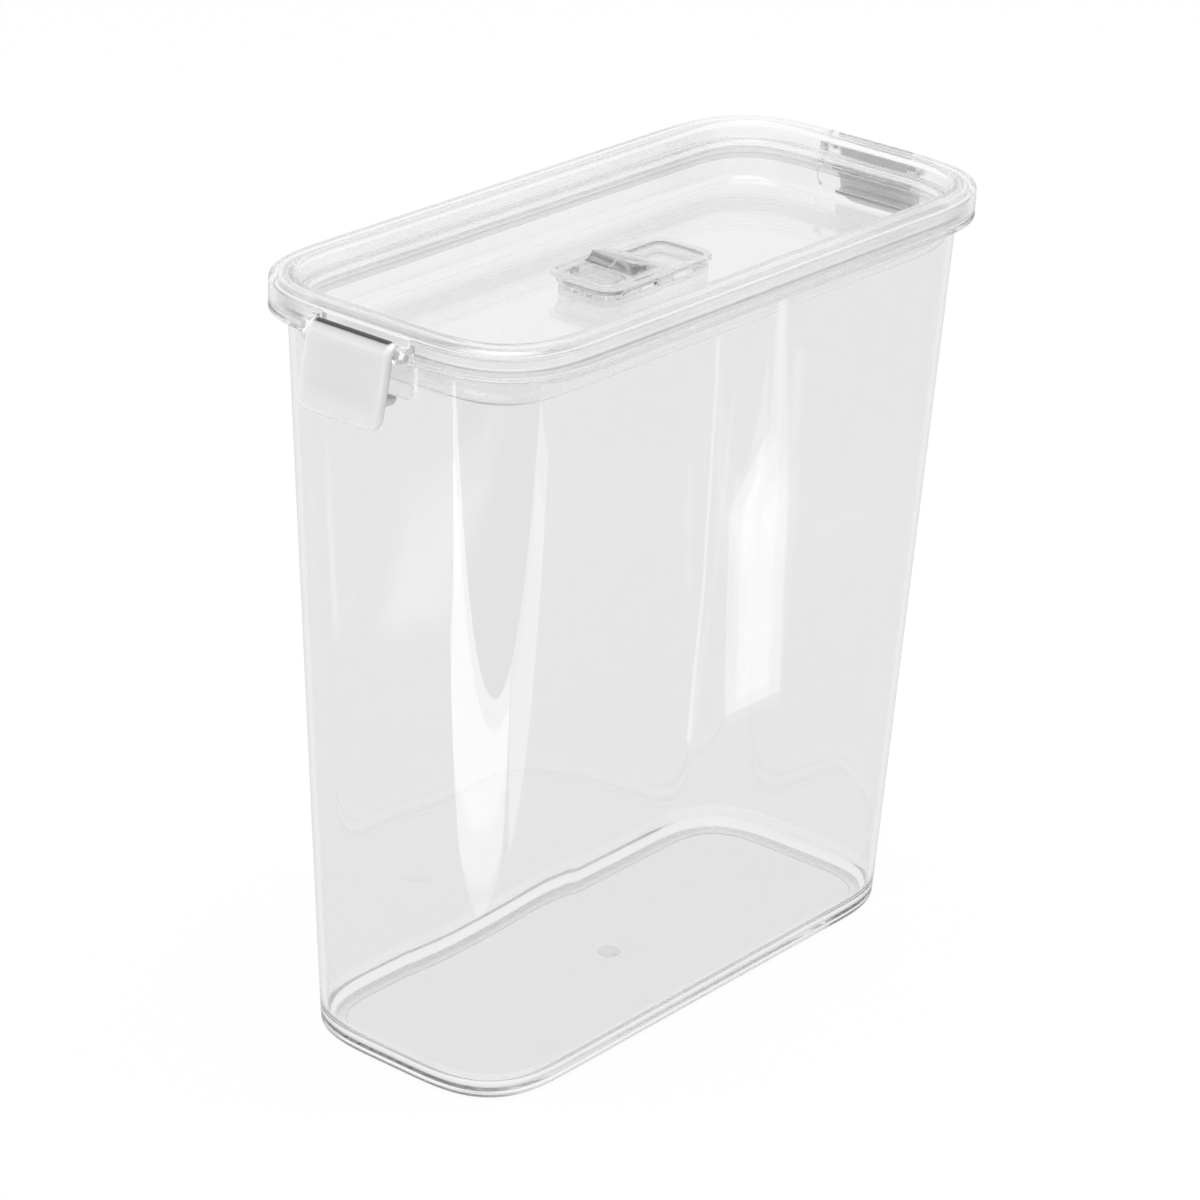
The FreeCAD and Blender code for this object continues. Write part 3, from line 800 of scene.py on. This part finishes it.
def panel_marks(y, l, h, inset):
    """The panel's painted light and the painted shadow line where its curl dives into the notch.

    Each is a ramp from 0 to 1. Painted light whitens the border as a painted highlight, and lightens the
    foot and the inner face. The painted shadow follows the curl's angle in degrees: a soft painted shadow
    from 15 to 55, then the painted gap shadow from 58 to 114.
    """
    angle = np.degrees(latch_lean + np.maximum(l - latch_run, 0) / latch_reach)
    border = np.clip((painted_border_width - inset) / painted_fade, 0, 1) * np.clip((70 - angle) / 15, 0, 1)
    # The foot is painted lighter and the inner face white: painted light
    painted_lighter_foot = 0.4 * np.clip(1 - l / latch_run, 0, 1)
    inner_face_painted_light = 1.0 * (h > latch_thickness / 2)
    # A soft painted shadow over the curl, then the painted shadow line of the gap
    shadow = 0.35 * np.clip((angle - 15) / 40, 0, 1) + 0.65 * np.clip((angle - 58) / 7, 0, 1)
    gap = shadow * np.clip(114 - angle, 0, 1) * (h < latch_thickness / 2)
    gap = gap * np.clip((latch_half_width - gap_shadow_margin - np.abs(y)) / painted_fade, 0, 1)
    return {"border": np.maximum(np.maximum(border, painted_lighter_foot), inner_face_painted_light), "gap": gap}


def milky_moulded_plastic(name, tint, painted_highlight_tint, gap_shadow_tint, grain_mm, cloud_mm, scatter_mm):
    """A milky grade of the clear plastic from a finely etched mould.

    The eye gets a pale, even, light-scattering panel with a satin sheen. Its rounded edges, foot and inner
    face are painted whiter as painted light, and a painted shadow line lies where the curl meets the notch.
    """
    material = empty_material(name)
    tree = material.node_tree
    place = add_node(tree, "ShaderNodeTexCoord").outputs["Object"]
    grain = add_node(tree, "ShaderNodeTexNoise", {
        "Vector": place, "Scale": 1 / (grain_mm * mm), "Detail": 2.0})
    etched = add_node(tree, "ShaderNodeBump", {
        "Height": grain.outputs[0], "Strength": 0.15, "Distance": 0.02 * mm})
    cloud = add_node(tree, "ShaderNodeTexNoise", {
        "Vector": place, "Scale": 1 / (cloud_mm * mm), "Detail": 2.0})
    satin = add_node(tree, "ShaderNodeMapRange", {
        "Value": cloud.outputs[0], "From Min": 0.3, "From Max": 0.7, "To Min": 0.16, "To Max": 0.26})
    border = add_node(tree, "ShaderNodeAttribute", attribute_name="border")
    gap = add_node(tree, "ShaderNodeAttribute", attribute_name="gap")
    with_painted_highlight = add_node(tree, "ShaderNodeMix", {
        "Factor": border.outputs["Fac"], 6: linear(tint), 7: linear(painted_highlight_tint)}, data_type="RGBA")
    shaded = add_node(tree, "ShaderNodeMix", {
        "Factor": gap.outputs["Fac"], 6: with_painted_highlight.outputs[2], 7: linear(gap_shadow_tint)}, data_type="RGBA")
    surface = add_node(tree, "ShaderNodeBsdfPrincipled", {
        "Base Color": shaded.outputs[2], "Transmission Weight": 0.1, "IOR": plastic_ior,
        "Subsurface Weight": 1.0, "Subsurface Radius": (1, 1, 1), "Subsurface Scale": scatter_mm * mm,
        "Roughness": satin.outputs[0], "Normal": etched.outputs[0]})
    add_node(tree, "ShaderNodeOutputMaterial", {"Surface": surface.outputs[0]})
    return material


latch_edge = rounded_profile([
    (latch_rim, 0, 0), (0, 0, outer_edge), (0, latch_thickness, inner_edge),
    (latch_rim, latch_thickness, 0)], guard=0.2)
curl_share = (latch_run - latch_corner - 1) / (latch_length - latch_corner - latch_top_corner)
panel = plate(
    2 * latch_half_width, latch_length, latch_corner, latch_top_corner, latch_edge, curled,
    share=[0.2, 0.5, *np.linspace(curl_share, 0.98, 14)], mark=panel_marks)
hook_ceiling = tab_bottom - hook_gap
hook_tip = tab_face - hook_engagement
back_at_pivot = pivot_x + (latch_reach - latch_thickness - hairline) / math.cos(latch_lean)
panel_back = [
    back_at_pivot + (pivot_z - z) * math.tan(latch_lean)
    for z in (hook_ceiling, hook_ceiling - hook_thickness)]
hook = bar(rounded_profile([
    (hook_tip, hook_ceiling, 0.3), (panel_back[0], hook_ceiling, 0.1),
    (panel_back[1], hook_ceiling - hook_thickness, 0.1),
    (hook_tip + hook_thickness / 2, hook_ceiling - hook_thickness, 0.4),
    (hook_tip, hook_ceiling - hook_thickness / 2, 0.4),
], closed=True, steps=4, guard=0.1), -hook_half_width, hook_half_width, 0.4, along_y)
pin = bar(
    np.stack([pivot_x + pin_radius * np.cos(around), pivot_z + pin_radius * np.sin(around)], 1),
    latch_half_width + hairline, notch_half_width + ear_thickness, 0.25, along_y)
# Tints: the panel, its painted light and its painted gap shadow
latch_plastic = milky_moulded_plastic(
    "milky SAN, etched mould, latch", tint="ebebeb", painted_highlight_tint="ffffff", gap_shadow_tint="0c0c0c",
    grain_mm=0.35, cloud_mm=16, scatter_mm=6)
rear_shells = [panel, hook, pin, mirrored(pin)]
front_shells = [half_turned(shell) for shell in rear_shells]
# The painted shadow line shows above the front latch only, so the rear panel goes without that mark and keeps
# only its painted light
rear_shells[0] = (*panel[:2], {"border": panel[2]["border"]})
for end, shells in (("rear", rear_shells), ("front", front_shells)):
    latch = build_piece(f"{end}_latch_clip", shells, latch_plastic)
    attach(latch, f"{end}_latch")
    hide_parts(f"{end}_latch")

# Stage
# A pale floor, half a millimetre below the foot ring, and a soft studio. The camera and what passes through
# the plastic see the floor as plain white, and reflections see it as the lamps light it.
floor_half = 6.0
floor_white = "f2f2f2"
floor_mirrored = "505050"
floor_seen = 0.96
floor_height = -0.5


def flat_sheet(name, corners, material):
    """A flat sheet with the given corners."""
    mesh = bpy.data.meshes.new(name)
    mesh.from_pydata(corners, [], [list(range(len(corners)))])
    mesh.materials.append(material)
    sheet = bpy.data.objects.new(name, mesh)
    bpy.context.scene.collection.objects.link(sheet)
    return sheet


paper = empty_material("white paper sweep")
tree = paper.node_tree
path = add_node(tree, "ShaderNodeLightPath")
seen = add_node(tree, "ShaderNodeMath", {
    0: path.outputs["Is Camera Ray"], 1: path.outputs["Is Transmission Ray"]}, operation="MAXIMUM")
reflected = add_node(tree, "ShaderNodeMath", {
    0: path.outputs["Is Glossy Ray"], 1: seen.outputs[0]}, operation="SUBTRACT", use_clamp=True)
shade = add_node(tree, "ShaderNodeMix", {
    "Factor": reflected.outputs[0], 6: linear(floor_white), 7: linear(floor_mirrored)}, data_type="RGBA")
matt = add_node(tree, "ShaderNodeBsdfDiffuse", {"Color": shade.outputs[2]})
share = add_node(tree, "ShaderNodeMath", {0: seen.outputs[0], 1: floor_seen}, operation="MULTIPLY")
glow = add_node(tree, "ShaderNodeEmission", {"Color": (1, 1, 1, 1), "Strength": 1.0})
both = add_node(tree, "ShaderNodeMixShader", {0: share.outputs[0], 1: matt.outputs[0], 2: glow.outputs[0]})
add_node(tree, "ShaderNodeOutputMaterial", {"Surface": both.outputs[0]})
paper.cycles.emission_sampling = "NONE"
flat_sheet("floor", [
    (x * floor_half, y * floor_half, floor_height * mm)
    for x, y in ((-1, -1), (1, -1), (1, 1), (-1, 1))], paper)

sky_light = 0.55
sky_seen = 1.0
world = bpy.data.worlds.new("soft studio")
world.use_nodes = True
bpy.context.scene.world = world
tree = world.node_tree
tree.nodes.clear()
path = add_node(tree, "ShaderNodeLightPath")
looked_at = add_node(tree, "ShaderNodeMath", {
    0: path.outputs["Is Camera Ray"], 1: path.outputs["Is Glossy Ray"]}, operation="MAXIMUM")
strength = add_node(tree, "ShaderNodeMapRange", {
    "Value": looked_at.outputs[0], "To Min": sky_light, "To Max": sky_seen})
studio = add_node(tree, "ShaderNodeBackground", {"Color": (1, 1, 1, 1), "Strength": strength.outputs[0]})
add_node(tree, "ShaderNodeOutputWorld", {"Surface": studio.outputs[0]})


def softbox(name, place, target, width, height, radiance):
    """A rectangular lamp that faces a point, with its power worked out from its area and brightness."""
    lamp = bpy.data.lights.new(name, "AREA")
    lamp.shape = "RECTANGLE"
    lamp.size = width
    lamp.size_y = height
    lamp.energy = radiance * math.pi * width * height
    box = bpy.data.objects.new(name, lamp)
    box.location = place
    box.rotation_mode = "QUATERNION"
    box.rotation_quaternion = (Vector(target) - Vector(place)).to_track_quat("-Z", "Y")
    box.visible_camera = False
    box.visible_transmission = False
    bpy.context.scene.collection.objects.link(box)
    return box


softbox("top softbox", (-0.2, -0.3, 1.6), (0, 0, 0.1), 1.4, 1.4, 2.0)
softbox("right softbox", (0.97, -0.54, 1.0), (0, 0, 0.1), 1.0, 0.8, 4.0).visible_glossy = False
softbox("rear softbox", (-0.57, 0.82, 1.1), (0, 0, 0.1), 1.0, 0.8, 3.0).visible_glossy = False

# The table in front of the container, as cards that only its reflections see: it ends in a straight front
# edge, and its left part is brighter, so the round corners carry white bands. Each card has its height above
# the floor, its strength, and its corners along and behind the edge.
edge_middle = np.array([-300.0, -140.0])
edge_way = np.array([0.63, -0.776])
edge_back = np.array([0.776, 0.63])


def table_spot(along, behind):
    """A place on the table, in millimetres along its front edge and behind it."""
    return edge_middle + along * edge_way + behind * edge_back


for name, height, strength, spots in [
    ("table", 0.05, 0.65, [(-2500, 0), (2500, 0), (2500, 4000), (-2500, 4000)]),
    ("right glow", 0.10, 1.6, [(160, 0), (480, 0), (480, 110), (120, 110)]),
    ("far strip", 0.20, 1.4, [
        (297, 340), (465, 378), (540, 411), (680, 446), (680, 450), (473, 403), (316, 364)]),
    ("far strip core", 0.25, 1.8, [
        (310, 347), (465, 383), (540, 414), (680, 447), (680, 449), (473, 399), (320, 360)]),
    ("thin strip", 0.30, 1.6, [(636, 410), (421, 359), (280, 323), (280, 324.5), (421, 360), (636, 411.5)]),
    ("left glow", 0.15, 2.6, [
        (-400, 0), (160, 0), (128, 54), (-125, 124), (-208, 102), (-264, 58), (-400, 20)]),
    ("left glow middle", 0.15, 2.0, [(128, 54), (95, 97), (-60, 138), (-125, 124)]),
    ("left glow end", 0.15, 1.4, [(95, 97), (71, 113), (13, 136), (-60, 138)]),
]:
    glow = empty_material(name + " of the table")
    tree = glow.node_tree
    path = add_node(tree, "ShaderNodeLightPath")
    reflected = add_node(tree, "ShaderNodeMath", {
        0: path.outputs["Glossy Depth"], 1: 1.0}, operation="MINIMUM")
    clear = add_node(tree, "ShaderNodeBsdfTransparent", {"Color": (1, 1, 1, 1)})
    shine = add_node(tree, "ShaderNodeEmission", {"Color": (1, 1, 1, 1), "Strength": strength})
    card = add_node(tree, "ShaderNodeMixShader", {
        0: reflected.outputs[0], 1: clear.outputs[0], 2: shine.outputs[0]})
    add_node(tree, "ShaderNodeOutputMaterial", {"Surface": card.outputs[0]})
    glow.cycles.emission_sampling = "NONE"
    level = (floor_height + height) * mm
    sheet = flat_sheet(name, [(*table_spot(*spot) * mm, level) for spot in spots], glow)
    sheet.visible_camera = False
    sheet.visible_diffuse = False
    sheet.visible_transmission = name != "table"
    sheet.visible_shadow = False

# Camera
# It stands at the photograph's viewpoint: above the front left, with a long lens and a slight roll.
camera_place = np.array([-932.66, -752.96, 646.27])
camera_azimuth = math.radians(-51.085)
camera_elevation = math.radians(23.704)
camera_roll = math.radians(2.423)
image_side = 1200
focal_pixels = 4352.37
centre_shift = (20.085, 2.069)

back = np.array([
    math.sin(camera_azimuth) * math.cos(camera_elevation),
    -math.cos(camera_azimuth) * math.cos(camera_elevation), math.sin(camera_elevation)])
sideways = np.array([math.cos(camera_azimuth), math.sin(camera_azimuth), 0.0])
upright = np.cross(back, sideways)
right = math.cos(camera_roll) * sideways + math.sin(camera_roll) * upright
up = -math.sin(camera_roll) * sideways + math.cos(camera_roll) * upright
lens = bpy.data.cameras.new("photograph")
lens.sensor_width = 36.0
lens.lens = focal_pixels * lens.sensor_width / image_side
lens.shift_x = -centre_shift[0] / image_side
lens.shift_y = centre_shift[1] / image_side
lens.clip_start = 0.05
lens.clip_end = 50
camera = bpy.data.objects.new("photograph", lens)
camera.matrix_world = Matrix.Translation(camera_place * mm) @ Matrix(np.stack([right, up, back], 1)).to_4x4()
bpy.context.scene.collection.objects.link(camera)
bpy.context.scene.camera = camera

scene = bpy.context.scene
scene.view_settings.view_transform = "Standard"
scene.cycles.use_denoising = True
# Light that is trapped in a clear wall needs many bounces to come out again
light_bounces = 256
scene.cycles.max_bounces = light_bounces
scene.cycles.transmission_bounces = light_bounces
scene.cycles.glossy_bounces = light_bounces
scene.cycles.caustics_reflective = False
